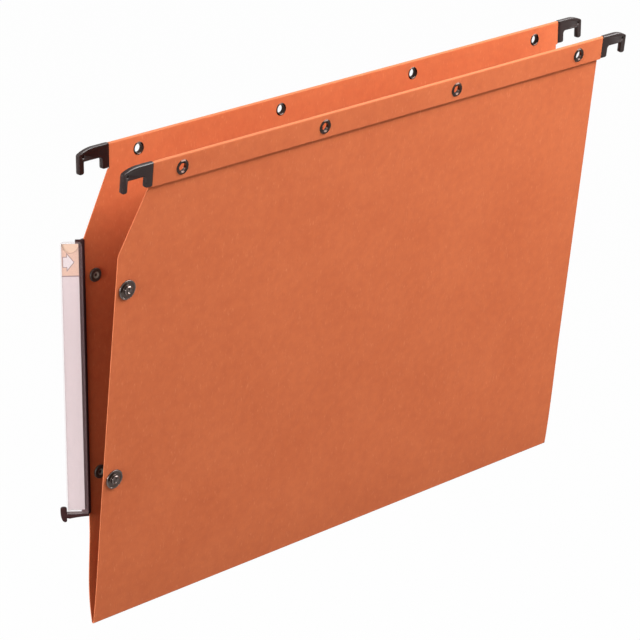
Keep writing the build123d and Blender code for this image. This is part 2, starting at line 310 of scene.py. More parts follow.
LAMPS = {
    "key_lamp": Lamp(offset=(0.46, -0.42, 0.73), long=1.1, wide=0.42, power=16.4),
    "fill_lamp": Lamp(offset=(-0.91, -0.095, 0.15), long=0.35, wide=0.35, power=6.2),
    "side_lamp": Lamp(offset=(0.75, -0.55, 0.1), long=0.1, wide=0.1, power=0.8),
    "back_lamp": Lamp(offset=(-0.25, 0.75, 0.2), long=0.9, wide=0.5, power=5.5),
}


def choose(piece):
    """Make one piece the only one that operators act on."""
    bpy.ops.object.select_all(action="DESELECT")
    piece.select_set(True)
    bpy.context.view_layer.objects.active = piece


def edit(piece):
    """Go into a piece's mesh with all of it selected."""
    choose(piece)
    bpy.ops.object.mode_set(mode="EDIT")
    bpy.ops.mesh.select_mode(type="FACE")
    bpy.ops.mesh.select_all(action="SELECT")


def leave():
    """Come back out of the mesh."""
    bpy.ops.object.mode_set(mode="OBJECT")


def pick(piece, kind, wanted):
    """In edit mode, select only the faces, edges or verts that a test wants."""
    modes = {"faces": "FACE", "edges": "EDGE", "verts": "VERT"}
    bpy.ops.mesh.select_mode(type=modes[kind])
    bpy.ops.mesh.select_all(action="DESELECT")
    mesh = bmesh.from_edit_mesh(piece.data)
    for element in getattr(mesh, kind):
        if wanted(element):
            element.select_set(True)
    mesh.select_flush_mode()
    bmesh.update_edit_mesh(piece.data)


def copy_of(node, name):
    """A merged copy of a node's mesh, with its flat faces whole again."""
    piece = bpy.data.objects.new(name, nodes[node].data.copy())
    bpy.context.scene.collection.objects.link(piece)
    piece.data.materials.clear()
    choose(piece)
    bpy.ops.mesh.customdata_custom_splitnormals_clear()
    edit(piece)
    bpy.ops.mesh.remove_doubles(threshold=MERGE)
    bpy.ops.mesh.dissolve_limited(angle_limit=FLAT_ANGLE)
    leave()
    return piece


def soften(piece, width, steps=2):
    """Round a piece's sharp edges a little, or chamfer them in one step, and smooth its curves."""
    choose(piece)
    bevel = piece.modifiers.new("soft_edges", "BEVEL")
    bevel.width = width
    bevel.segments = steps
    bevel.limit_method = "ANGLE"
    bevel.angle_limit = BEVEL_ANGLE
    bpy.ops.object.modifier_apply(modifier=bevel.name)
    bpy.ops.object.shade_smooth_by_angle(angle=SMOOTH_ANGLE)


def arc(radius_to, height_to, wide, high, start, end, steps=8):
    """Rings on an arc: its middle, its two half widths and its first and last angle in degrees."""
    turns = [math.radians(start + (end - start) * step / steps) for step in range(steps + 1)]
    return [(radius_to + wide * math.cos(turn), height_to + high * math.sin(turn)) for turn in turns]


def turned(name, centre, axis, rings):
    """A turned piece, drawn out ring by ring; it closes on itself or is filled at both ends."""
    bpy.ops.object.select_all(action="DESELECT")
    radius, height = rings[0]
    bpy.ops.mesh.primitive_circle_add(
        vertices=TURN_STEPS,
        radius=radius,
        location=centre + height * axis,
        rotation=axis.to_track_quat("Z", "Y").to_euler(),
    )
    piece = bpy.context.object
    piece.name = name
    bpy.ops.object.transform_apply(location=True, rotation=True, scale=True)
    edit(piece)
    bpy.ops.mesh.select_mode(type="EDGE")
    bpy.ops.mesh.select_all(action="SELECT")
    for next_radius, next_height in rings[1:]:
        step = (next_height - height) * axis
        bpy.ops.mesh.extrude_edges_move(TRANSFORM_OT_translate={"value": step})
        bpy.ops.transform.resize(
            value=(next_radius / radius,) * 3, center_override=centre + next_height * axis
        )
        radius, height = next_radius, next_height
    bpy.ops.mesh.select_all(action="SELECT")
    bpy.ops.mesh.remove_doubles(threshold=MERGE)
    bpy.ops.mesh.fill_holes(sides=0)
    bpy.ops.mesh.select_all(action="SELECT")
    bpy.ops.mesh.normals_make_consistent(inside=False)
    leave()
    bpy.ops.object.shade_smooth_by_angle(angle=SMOOTH_ANGLE)
    return piece


def copies(piece, steps):
    """Copies of a piece, each with its own mesh, moved by the steps given."""
    made = []
    for step in steps:
        choose(piece)
        bpy.ops.object.duplicate(linked=False)
        bpy.ops.transform.translate(value=step)
        bpy.ops.object.transform_apply(location=True, rotation=True, scale=True)
        made.append(bpy.context.object)
    return made


def joined(pieces, name):
    """Several meshes as one piece."""
    choose(pieces[0])
    for piece in pieces[1:]:
        piece.select_set(True)
    bpy.ops.object.join()
    pieces[0].name = name
    return pieces[0]


def finish_piece(piece, *materials):
    """Give a piece its materials; the first is on all faces until others are marked."""
    for material in materials:
        piece.data.materials.append(material)


def mount_piece(piece, body, slot, *replaced):
    """Give a finished piece its body and hide the nodes that it stands for; the slot is not used."""
    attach(piece, body)
    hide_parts(*replaced)


class Finish:
    """A material under construction, with its shader and short ways to add nodes."""

    def __init__(self, name, base, roughness, metallic=0.0):
        self.material = bpy.data.materials.new(name)
        self.material.use_nodes = True
        self.tree = self.material.node_tree
        self.shader = self.tree.nodes["Principled BSDF"]
        self.shader.inputs["Base Color"].default_value = (*base, 1)
        self.shader.inputs["Roughness"].default_value = roughness
        self.shader.inputs["Metallic"].default_value = metallic

    def node(self, kind, values=(), **settings):
        """A node with its settings, and its inputs set to values or linked to sockets."""
        made = self.tree.nodes.new("ShaderNode" + kind)
        for name, value in settings.items():
            setattr(made, name, value)
        for name, value in dict(values).items():
            self.feed(made.inputs[name], value)
        return made

    def feed(self, target, value):
        """Link an input to a socket, or set it to a value."""
        if isinstance(value, bpy.types.NodeSocket):
            self.tree.links.new(value, target)
        else:
            target.default_value = value

    def set(self, name, value):
        """Feed one of the shader's inputs."""
        self.feed(self.shader.inputs[name], value)

    def coordinates(self):
        """Places in the frame."""
        return self.node("TexCoord").outputs["Object"]

    def sheet(self):
        """Places on the unfolded card."""
        return self.node("Attribute", attribute_name="sheet").outputs["Vector"]

    def stretched(self, vector, scale, turn=0.0):
        """Coordinates turned in the plane and stretched."""
        values = {"Vector": vector, "Scale": scale, "Rotation": (0, 0, math.radians(turn))}
        return self.node("Mapping", values).outputs["Vector"]

    def noise(self, vector, scale, detail=2.0, roughness=0.5):
        """Noise from 0 to 1."""
        values = {"Vector": vector, "Scale": scale, "Detail": detail, "Roughness": roughness}
        return self.node("TexNoise", values).outputs["Fac"]

    def ranged(self, value, low, high, to_low=0.0, to_high=1.0):
        """A value mapped from one range to another, held at its ends."""
        values = {"Value": value, "From Min": low, "From Max": high, "To Min": to_low, "To Max": to_high}
        return self.node("MapRange", values).outputs["Result"]

    def sum(self, first, second, how="ADD"):
        """Two values added, or combined in another way."""
        return self.node("Math", {0: first, 1: second}, operation=how).outputs["Value"]

    def mixed(self, factor, first, second):
        """Two colours mixed by a factor."""
        made = self.node("Mix", {0: factor}, data_type="RGBA")
        for index, value in ((6, first), (7, second)):
            is_socket = isinstance(value, bpy.types.NodeSocket)
            self.feed(made.inputs[index], value if is_socket else (*value, 1))
        return made.outputs[2]

    def blotch(self, noise, base, factor):
        """Darken the base colour by a factor where a noise is low."""
        darker = [part * factor for part in base]
        self.set("Base Color", self.mixed(self.ranged(noise, *SHARP), darker, base))

    def bump(self, height, strength, distance):
        """Bump from a height."""
        values = {"Height": height, "Strength": strength, "Distance": distance}
        self.set("Normal", self.node("Bump", values).outputs["Normal"])


def kraft_card(colours):
    """Orange kraft card: cloudy patches, mottling, pale and dark fibres, and a painted highlight along the top
    folds.
    """
    finish = Finish("kraft_card", colours.card, roughness=0.8)
    sheet = finish.sheet()
    cloud = finish.noise(sheet, 24, detail=3)
    mottle = finish.noise(sheet, 210, detail=3, roughness=0.55)
    fibres = []
    for turn, stretch in ((20, (1100, 330, 500)), (-50, (1000, 300, 700)), (80, (1050, 320, 900))):
        fibres.append(finish.noise(finish.stretched(sheet, stretch, turn), 1, detail=1))
    tangle = finish.sum(finish.sum(fibres[0], fibres[1], "MAXIMUM"), fibres[2], "MAXIMUM")
    hollow = finish.sum(finish.sum(fibres[0], fibres[1], "MINIMUM"), fibres[2], "MINIMUM")
    patches = finish.sum(finish.ranged(cloud, *GENTLE, 0, 0.45), finish.ranged(mottle, *GENTLE, 0, 0.55))
    base = finish.mixed(patches, colours.card_dark, colours.card)
    base = finish.mixed(finish.ranged(tangle, 0.68, 0.84, 0, 0.45), base, colours.card_pale)
    base = finish.mixed(finish.ranged(hollow, 0.32, 0.16, 0, 0.7), base, colours.card_dark)
    height = finish.node("SeparateXYZ", {"Vector": sheet}).outputs["Y"]
    from_crease = finish.sum(height, 0.0, "ABSOLUTE")
    # Painted highlight: the card turns paler along the round of its top folds, where light from above catches them
    painted_highlight_from, painted_highlight_through = card_top - 1.1 * MILLI, card_top - 0.2 * MILLI
    painted_highlight = finish.ranged(from_crease, painted_highlight_from, painted_highlight_through, 0, 0.8)
    finish.set("Base Color", finish.mixed(painted_highlight, base, colours.edge_and_fold_highlight))
    finish.set("Roughness", finish.ranged(mottle, *GENTLE, 0.72, 0.86))
    finish.set("Specular IOR Level", 0.3)
    finish.bump(finish.sum(tangle, mottle), strength=0.25, distance=0.12 * MILLI)
    return finish.material


def cut_edge(colours):
    """The card's cut edge: paler, with a fine fuzz."""
    finish = Finish("card_cut_edge", colours.edge_and_fold_highlight, roughness=0.88)
    sheet = finish.sheet()
    fuzz = finish.noise(sheet, 1800, detail=2)
    finish.set("Base Color", finish.mixed(finish.ranged(fuzz, 0.3, 0.9), colours.card, colours.edge_and_fold_highlight))
    finish.bump(fuzz, strength=0.3, distance=0.08 * MILLI)
    return finish.material


def moulding(name, base, roughness, gloss, grain):
    """Dark moulded plastic with a fine spark-eroded grain."""
    finish = Finish(name, base, roughness)
    sparks = finish.noise(finish.coordinates(), 2600, detail=2)
    haze = finish.noise(finish.coordinates(), 180, detail=2)
    finish.set("Roughness", finish.ranged(haze, *GENTLE, roughness * 0.85, roughness * 1.2))
    finish.set("Specular IOR Level", gloss)
    finish.bump(sparks, strength=grain, distance=0.05 * MILLI)
    return finish.material


def satin_moulding(colours):
    """The grained faces of the hooks."""
    return moulding("satin_moulding", colours.moulding, roughness=0.33, gloss=0.2, grain=0.12)


def polished_moulding(colours):
    """The smoother, glossier chamfers of the hooks."""
    return moulding("polished_moulding", colours.moulding, roughness=0.26, gloss=0.4, grain=0.03)


def carrier_moulding(colours):
    """The duller plastic of the label carrier."""
    return moulding("carrier_moulding", colours.carrier, roughness=0.36, gloss=0.1, grain=0.12)


def plated_metal(name, base, roughness, metallic=1.0):
    """Plated metal with a little tarnish, duller where it is darker."""
    finish = Finish(name, base, roughness, metallic)
    tarnish = finish.noise(finish.coordinates(), 260, detail=3)
    finish.blotch(tarnish, base, factor=0.7)
    finish.set("Roughness", finish.ranged(tarnish, *SHARP, roughness * 1.25, roughness * 0.85))
    return finish.material


def cap_lacquer(name, base):
    """Lacquer of the inner caps, darker in blotches of wear; with a pale base it makes the painted highlight in
    their dimples.
    """
    finish = Finish(name, base, roughness=0.35)
    wear = finish.noise(finish.coordinates(), 420, detail=3)
    finish.blotch(wear, base, factor=0.6)
    finish.set("Roughness", finish.ranged(wear, *SHARP, 0.42, 0.25))
    return finish.material


def clear_plastic(name, base, roughness, alpha, coat):
    """Plastic that is partly see-through, with a faint haze in its gloss."""
    finish = Finish(name, base, roughness)
    finish.set("Alpha", alpha)
    finish.set("IOR", 1.49)
    finish.set("Coat Weight", coat)
    haze = finish.noise(finish.coordinates(), 90, detail=2)
    finish.set("Roughness", finish.ranged(haze, *GENTLE, 0.08, 0.18))
    return finish.material


def clear_wall(colours):
    """Walls of the clear sleeve, a little milky."""
    return clear_plastic("clear_sleeve", colours.sleeve, roughness=0.12, alpha=0.09, coat=0.3)


def clear_edge(colours):
    """Edges of the clear sleeve, painted darker and less clear than its walls as shade that stands in for their
    refraction.
    """
    return clear_plastic("clear_sleeve_edge", colours.sleeve_edge, roughness=0.1, alpha=0.5, coat=0)


def printed_paper(name, base):
    """Smooth printed paper with a faint fibre."""
    finish = Finish(name, base, roughness=0.62)
    fibre = finish.noise(finish.coordinates(), 1500, detail=3)
    finish.blotch(fibre, base, factor=0.93)
    finish.bump(fibre, strength=0.05, distance=0.05 * MILLI)
    return finish.material


class FOLDER_OT_card(bpy.types.Operator):
    """Fold one card over its crease from the two halves, bowed a little above it"""

    bl_idname = "folder.card"
    bl_label = "Card"

    def execute(self, context):
        sizes = context.scene.folder_sizes
        colours = context.scene.folder_colours
        card = joined([copy_of("back_panel", "card"), copy_of("front_panel", "card_front")], "card")
        self.close_crease(card, sizes.crease_reach)
        self.bow_half(card, "back", sizes.back_bow, sizes.back_bow_end, sizes.bow_rows)
        self.bow_half(card, "front", sizes.front_bow, sizes.front_bow_end, sizes.bow_rows)
        self.map_sheet(card)
        self.mark_edges(card, colours)
        choose(card)
        bpy.ops.object.shade_smooth_by_angle(angle=SMOOTH_ANGLE)
        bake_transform(card)
        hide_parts("back_panel", "front_panel")
        return {"FINISHED"}

    def close_crease(self, card, reach):
        """Bridge the round of the crease to the front half's lower edge."""

        def faces_gap(face):
            offset = face.calc_center_median() - crease
            if math.hypot(offset.y, offset.z) > reach or abs(offset.y) < card_inner:
                return False
            return looks(face, up["back"]) or looks(face, -up["front"])

        edit(card)
        pick(card, "faces", faces_gap)
        bpy.ops.mesh.bridge_edge_loops()
        leave()

    def bow_half(self, card, side, bow, top, rows):
        """Slice the foot of a half into rows and move them outward, most of all low down."""
        sign = out[side].y
        tolerance = 0.01 * MILLI
        crowding = 1.5  # rows lie closer together near the crease
        peak = 27 / 4  # brings the highest point of the bow's curve to 1

        def of_half(middle):
            return middle.y * sign > 0 and on_half(side, middle).y > 0

        edit(card)
        heights = [top * (row / rows) ** crowding for row in range(1, rows)]
        for height in heights:
            pick(card, "faces", lambda face: of_half(face.calc_center_median()))
            bpy.ops.mesh.bisect(plane_co=place(side, 0, height, 0), plane_no=up[side])
        for height in heights:
            part = height / top
            lift = bow * peak * part * (1 - part) ** 2
            pick(
                card,
                "verts",
                lambda vertex: of_half(vertex.co) and abs(on_half(side, vertex.co).y - height) < tolerance,
            )
            bpy.ops.transform.translate(value=lift * out[side])
        leave()

    def map_sheet(self, card):
        """Note each point's place on the unfolded card, so that its fibre follows the sheet."""
        places = []
        for vertex in card.data.vertices:
            side = "front" if vertex.co.y < crease.y else "back"
            x, height, outward = on_half(side, vertex.co)
            places.extend((x, height if side == "front" else -height, outward))
        sheet = card.data.attributes.new("sheet", "FLOAT_VECTOR", "POINT")
        sheet.data.foreach_set("vector", places)

    def mark_edges(self, card, colours):
        """Give the cut edges their own finish."""
        finish_piece(card, kraft_card(colours), cut_edge(colours))
        for face in card.data.polygons:
            side = "front" if face.center.y < crease.y else "back"
            faces_end = abs(face.normal.dot(along)) > SLANT
            faces_down = looks(face, -up[side]) and on_half(side, face.center).y > card_top / 2
            face.material_index = int(faces_end or faces_down)


class FOLDER_OT_rails(bpy.types.Operator):
    """Finish the steel rails inside the strips"""

    bl_idname = "folder.rails"
    bl_label = "Rails"

    def execute(self, context):
        steel = plated_metal("rolled_steel", context.scene.folder_colours.steel, roughness=0.35)
        for side in sides:
            rail = nodes[f"{side}_rail"]
            rail.data.materials.clear()
            finish_piece(rail, steel)
        return {"FINISHED"}


class FOLDER_OT_hooks(bpy.types.Operator):
    """Chamfer the four moulded hooks and sink a round pip into each broad face"""

    bl_idname = "folder.hooks"
    bl_label = "Hooks"

    def execute(self, context):
        sizes = context.scene.folder_sizes
        colours = context.scene.folder_colours
        plastics = (satin_moulding(colours), polished_moulding(colours))
        for side in sides:
            for end, way in zip(ends, (-1, 1)):
                node = f"{side}_{end}_hook"
                piece = copy_of(node, f"{node}_moulded")
                seat = on_half(side, mounts[f"{side}_{end}_seat"]["pos_m"])
                soften(piece, sizes.hook_chamfer, 1)
                finish_piece(piece, *plastics)
                for face in piece.data.polygons:
                    face.material_index = int(slants(face, out[side]))
                spot = (seat.x + way * sizes.pip_outset, seat.y + sizes.pip_rise)
                inner, outer = span(node, out[side])
                self.sink_pip(piece, place(side, *spot, outer), out[side], sizes)
                self.sink_pip(piece, place(side, *spot, inner), -out[side], sizes)
                mount_piece(piece, f"{side}_half", "hook_plastic", node)
        return {"FINISHED"}

    def sink_pip(self, piece, spot, axis, sizes):
        """Cut one round, countersunk pip into a broad face."""
        radius, sink = sizes.pip_radius, sizes.pip_sink
        rings = [(radius, -sizes.pip_depth), (radius, -sink), (radius + 2 * sink, sink)]
        cutter = turned("pip_cutter", spot, axis, rings)
        finish_piece(cutter, *piece.data.materials)
        for face in cutter.data.polygons:
            face.material_index = int(slants(face, axis))
        choose(piece)
        cut = piece.modifiers.new("pip", "BOOLEAN")
        cut.object = cutter
        cut.operation = "DIFFERENCE"
        bpy.ops.object.modifier_apply(modifier=cut.name)
        bpy.data.objects.remove(cutter)


class FOLDER_OT_eyelets(bpy.types.Operator):
    """Roll the eyelets that rivet each strip to its rail"""

    bl_idname = "folder.eyelets"
    bl_label = "Eyelets"

    def execute(self, context):
        sizes = context.scene.folder_sizes
        # The nickel's red-brown tint is partly a painted reflection of the card
        nickel = plated_metal("dark_nickel", context.scene.folder_colours.nickel, roughness=0.16)
        bore = sizes.eyelet_bore / 2
        curl = sizes.eyelet_curl / 2
        barrel = bore + sizes.eyelet_wall
        for side in sides:
            node = f"{side}_eyelets"
            low, high = span(node, up[side])
            flange = (high - low) / 2
            left, right = span(node, along)
            first, last = left + flange, right - flange
            bead = self.bead(flange, sizes.eyelet_mouth / 2, sizes.eyelet_bead, sizes.bead_round)
            tuck = self.bead(curl, sizes.curl_mouth / 2, sizes.curl_bead, sizes.bead_round / 2)
            rings = [
                *[(radius, strip_outer + height) for radius, height in bead],
                (bore, (strip_outer + card_inner) / 2),
                *[(radius, card_inner - height) for radius, height in reversed(tuck)],
                (barrel, card_inner),
                (barrel, strip_outer),
                (flange, strip_outer),
            ]
            centre = place(side, first, (low + high) / 2, 0)
            eyelet = turned("eyelet", centre, out[side], rings)
            step = (last - first) / (sizes.eyelet_count - 1)
            rest = copies(eyelet, [n * step * along for n in range(1, sizes.eyelet_count)])
            row = joined([eyelet, *rest], f"{node}_rolled")
            finish_piece(row, nickel)
            mount_piece(row, f"{side}_half", "eyelet_metal", node)
        return {"FINISHED"}

    def bead(self, outside, inside, height, corner):
        """Rings of a pressed bead: two sloping flanks and a rounded crest between them."""
        inset = height + corner * (math.sqrt(2) - 1)
        level = height - corner
        return [
            (outside, 0),
            *arc(outside - inset, level, corner, corner, 45, 90, steps=3),
            *arc(inside + inset, level, corner, corner, 90, 135, steps=3),
            (inside, 0),
        ]


class FOLDER_OT_fasteners(bpy.types.Operator):
    """Turn the press studs, their sockets and the caps that close them inside"""

    bl_idname = "folder.fasteners"
    bl_label = "Press fasteners"

    def execute(self, context):
        sizes = context.scene.folder_sizes
        colours = context.scene.folder_colours
        gunmetal = plated_metal("gunmetal", colours.gunmetal, roughness=0.14, metallic=0.7)
        # Brighter gunmetal, partly rubbed wear and partly a painted highlight on the rims and noses
        rubbed = plated_metal("rubbed_gunmetal", colours.rubbed, roughness=0.14)
        lacquer = cap_lacquer("cap_lacquer", colours.lacquer)
        # Pale lacquer that paints a highlight on the slopes of each cap's dimple
        painted_highlight = cap_lacquer("worn_lacquer", colours.lacquer_painted_highlight)
        card_outer = card_inner + sizes.card_thickness
        for side in sides:
            kind = fastener[side].split("_")[1]
            spots = [on_half(side, mounts[f"{side}_{level}_{fastener[side]}"]["pos_m"]) for level in levels]
            centre = place(side, spots[0].x, spots[0].y, 0)
            step = place(side, spots[1].x, spots[1].y, 0) - centre
            boss = mounts[f"{side}_upper_{fastener[side]}"]["dims"]["r_mm"] * MILLI
            flange = half_width(f"{side}_upper_{kind}", up[side])
            rings = self.foot(flange, card_outer, sizes)
            if kind == "stud":
                rings += self.nose(boss, card_outer, sizes)
            else:
                rings += self.ring(boss, card_outer, sizes)
            upper = turned(f"{side}_upper_{kind}_turned", centre, out[side], rings)
            finish_piece(upper, gunmetal, rubbed)
            self.rub(upper, side, centre, flange, card_outer, sizes)
            lower = copies(upper, [step])[0]
            lower.name = f"{side}_lower_{kind}_turned"
            cap_rings = self.cap(side, sizes)
            upper_cap = turned(f"{side}_upper_cap_turned", centre, out[side], cap_rings)
            finish_piece(upper_cap, lacquer, painted_highlight)
            self.paint_dimple_highlight(upper_cap, side, centre, sizes)
            lower_cap = copies(upper_cap, [step])[0]
            lower_cap.name = f"{side}_lower_cap_turned"
            for level, piece, cap in (("upper", upper, upper_cap), ("lower", lower, lower_cap)):
                mount_piece(piece, f"{side}_half", "stud_metal", f"{side}_{level}_{kind}")
                mount_piece(cap, f"{side}_half", "stud_metal", f"{side}_{level}_cap")
        return {"FINISHED"}

    def rub(self, piece, side, centre, flange, card_outer, sizes):
        """Give the rolled rim and the sloping faces of the boss's end a brighter metal: partly rubbed wear, partly
        a painted highlight where they catch the lamps.
        """
        rim = flange - 2 * sizes.stud_rim
        end = card_outer + sizes.stud_height - sizes.stud_nose
        for face in piece.data.polygons:
            radius, outward = round_axis(face.center, centre, out[side])
            on_rim = radius > rim and outward > card_outer
            on_nose = outward > end and abs(face.normal.dot(out[side])) < FACING
            face.material_index = int(on_rim or on_nose)

    def paint_dimple_highlight(self, cap, side, centre, sizes):
        """Paint a highlight on the slopes of the dimple in a cap's crown, with the pale lacquer."""
        for face in cap.data.polygons:
            radius, outward = round_axis(face.center, centre, out[side])
            slopes = sizes.cap_floor < radius < sizes.cap_mouth
            face.material_index = int(outward < card_inner and slopes)

    def foot(self, flange, card_outer, sizes):
        """Rings of the flange: its underside on the card, its rolled rim and its dish."""
        rim = sizes.stud_rim
        dish = card_outer + sizes.stud_dish
        slope_start, slope_end, slope_rise = 2.4 * rim, 3.4 * rim, 0.3 * rim
        return [
            (sizes.stud_post, card_inner),
            (sizes.stud_post, card_outer),
            (flange - rim, card_outer),
            *arc(flange - rim, card_outer + rim, rim, rim, -60, 140),
            (flange - slope_start, dish + slope_rise),
            (flange - slope_end, dish),
        ]

    def nose(self, boss, card_outer, sizes):
        """Rings of the stud's boss: a waisted neck, a chamfered nose and a point in its dimple."""
        top = card_outer + sizes.stud_height
        dish = card_outer + sizes.stud_dish
        fillet = sizes.stud_rim
        nose = sizes.stud_nose
        dimple = sizes.stud_dimple
        waist = 0.97 * boss
        corner, lip = nose / 3, nose / 6
        point, point_drop = dimple / 4, 0.8 * nose
        return [
            *arc(boss + fillet, dish + fillet, fillet, fillet, 270, 180, steps=4),
            (waist, (dish + top - nose) / 2),
            *arc(boss - corner, top - nose, corner, corner, 0, 45, steps=3),
            *arc(boss - nose, top - corner, corner, corner, 45, 90, steps=3),
            (dimple + lip, top),
            (dimple, top - lip),
            (dimple - nose, top - nose),
            (point, top - nose),
            (point / 2, top - point_drop),
        ]

    def ring(self, bore, card_outer, sizes):
        """Rings of the socket: a wall with a round lip, and the floor of its bore."""
        top = card_outer + sizes.stud_height
        dish = card_outer + sizes.stud_dish
        fillet = sizes.stud_rim
        lip = sizes.socket_lip
        wall = bore + 2 * lip
        floor = card_outer + sizes.stud_rim
        last = 0.1 * bore
        return [
            *arc(wall + fillet, dish + fillet, fillet, fillet, 270, 180, steps=4),
            *arc(wall - lip, top - lip, lip, lip, 0, 180),
            (bore, floor + lip),
            (bore - lip, floor),
            (last, floor),
        ]

    def cap(self, side, sizes):
        """Rings of an inner cap, from its seat on the card to the dimple in its crown."""
        crown = span(f"{side}_upper_cap", out[side])[0]
        rim = half_width(f"{side}_upper_cap", up[side])
        corner = sizes.cap_round
        lip, depth = 0.3 * corner, 0.9 * corner
        last = 0.1 * sizes.cap_dimple
        return [
            (sizes.stud_post, card_inner),
            (rim, card_inner),
            *arc(rim - corner, crown + corner, corner, corner, 0, -90),
            (sizes.cap_mouth, crown),
            (sizes.cap_dimple, crown + lip),
            (sizes.cap_floor, crown + depth),
            (last, crown + depth),
        ]


class FOLDER_OT_holder(bpy.types.Operator):
    """Shape and soften the label carrier, and soften the clear sleeve that stands on it"""

    bl_idname = "folder.holder"
    bl_label = "Label holder"

    def execute(self, context):
        sizes = context.scene.folder_sizes
        colours = context.scene.folder_colours
        carrier = copy_of("label_carrier", "label_carrier_moulded")
        self.shape_foot(carrier, sizes)
        soften(carrier, sizes.carrier_round)
        finish_piece(carrier, carrier_moulding(colours))
        mount_piece(carrier, "back_half", "carrier_plastic", "label_carrier")
        sleeve = copy_of("label_sleeve", "label_sleeve_clear")
        soften(sleeve, sizes.sleeve_round)
        finish_piece(sleeve, clear_wall(colours), clear_edge(colours))
        # Edge faces get the darker clear plastic, painted shade for the refraction at the edges
        for face in sleeve.data.polygons:
            face.material_index = int(abs(face.normal.dot(label_face)) < WALL)
        mount_piece(sleeve, "back_half", "sleeve_clear", "label_sleeve")
        return {"FINISHED"}

    def shape_foot(self, carrier, sizes):
        """Slope the foot's underside up to the spine, and swell and taper the tab at its end."""
        near, far = span("label_sleeve", label_across)
        end = span("label_carrier", label_across)[1]
        low = span("label_carrier", label_up)[0]
        seat = span("label_sleeve", label_up)[0]
        foot_low = min(
            (vertex.co - crease).dot(label_up)
            for vertex in carrier.data.vertices
            if (vertex.co - crease).dot(label_across) < far
        )
        middle = seat + (seat - low) / 2

        def in_tab(face):
            return (face.calc_center_median() - crease).dot(label_across) > far

        edit(carrier)
        for step in range(1, sizes.foot_cuts):
            bpy.ops.mesh.select_all(action="SELECT")
            across = near + (far - near) * step / sizes.foot_cuts
            bpy.ops.mesh.bisect(plane_co=crease + across * label_across, plane_no=label_across)
        for step in range(1, sizes.tab_cuts):
            pick(carrier, "faces", in_tab)
            height = low + (middle - low) * step / sizes.tab_cuts
            bpy.ops.mesh.bisect(plane_co=crease + height * label_up, plane_no=label_up)
        leave()
        for vertex in carrier.data.vertices:
            offset = vertex.co - crease
            across, height = offset.dot(label_across), offset.dot(label_up)
            if across > far + MERGE:
                outer = (across - far) / (end - far)
                down = max(0, (middle - height) / (middle - low))
                swell = sizes.tab_swell - (sizes.tab_swell + sizes.tab_taper) * down**3
                vertex.co += outer * swell * label_across
            elif abs(height - foot_low) < MERGE:
                reach = min(max((across - near) / (far - near), 0), 1)
                lift = sizes.foot_rise * (1 - reach) - sizes.foot_drop * reach**3
                vertex.co += lift * label_up


class FOLDER_OT_label(bpy.types.Operator):
    """Print the paper label: a coloured head with an arrow, a rule and a bare field"""

    bl_idname = "folder.label"
    bl_label = "Label"

    def execute(self, context):
        sizes = context.scene.folder_sizes
        colours = context.scene.folder_colours
        top = span("paper_label", label_up)[1]
        head_end = top - sizes.label_head
        rule_end = head_end - sizes.label_rule
        label = copy_of("paper_label", "label_printed")
        for height in (head_end, rule_end):
            edit(label)
            bpy.ops.mesh.bisect(plane_co=crease + height * label_up, plane_no=label_up)
            leave()
        prints = {
            "label_paper": colours.paper,
            "label_head": colours.paper_head,
            "label_rule": colours.paper_rule,
            "label_arrow": colours.arrow,
        }
        inks = {name: printed_paper(name, base) for name, base in prints.items()}
        finish_piece(label, inks["label_paper"], inks["label_head"], inks["label_rule"])
        for face in label.data.polygons:
            height = (face.center - crease).dot(label_up)
            if looks(face, label_face) and height > rule_end:
                face.material_index = 1 if height > head_end else 2
        mount_piece(label, "label", "label_paper", "paper_label")
        arrow = self.draw_arrow(sizes, top)
        finish_piece(arrow, inks["label_arrow"], inks["label_rule"])
        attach(arrow, "label")
        return {"FINISHED"}

    def draw_arrow(self, sizes, top):
        """A block arrow that points at the folder, as a film on the label with its outline inset."""
        low, high = span("paper_label", label_across)
        front = span("paper_label", label_face)[1]
        tail = (low + high) / 2 + sizes.arrow_shift + sizes.arrow_length / 2
        tip = tail - sizes.arrow_length
        neck = tip + sizes.arrow_head
        shaft = sizes.arrow_shaft / 2
        head = sizes.arrow_height / 2
        outline = (
            (tip, 0),
            (neck, head),
            (neck, shaft),
            (tail, shaft),
            (tail, -shaft),
            (neck, -shaft),
            (neck, -head),
        )
        film = sizes.arrow_film * label_face
        middle = crease + (top - sizes.arrow_drop) * label_up + front * label_face
        bpy.ops.object.select_all(action="DESELECT")
        bpy.ops.mesh.primitive_circle_add(vertices=len(outline), fill_type="NGON", location=(0, 0, 0))
        arrow = bpy.context.object
        arrow.name = "label_arrow"
        for vertex, (across, rise) in zip(arrow.data.vertices, outline):
            vertex.co = middle + across * label_across + rise * label_up
        edit(arrow)
        bpy.ops.mesh.extrude_region_move(TRANSFORM_OT_translate={"value": film})
        bpy.ops.mesh.select_all(action="SELECT")
        bpy.ops.mesh.normals_make_consistent(inside=False)
        pick(arrow, "faces", lambda face: looks(face, label_face))
        bpy.ops.mesh.inset(thickness=sizes.arrow_line, depth=0)
        leave()
        for face in arrow.data.polygons:
            fills = len(face.vertices) == len(outline) and looks(face, label_face)
            face.material_index = int(not fills)
        return arrow


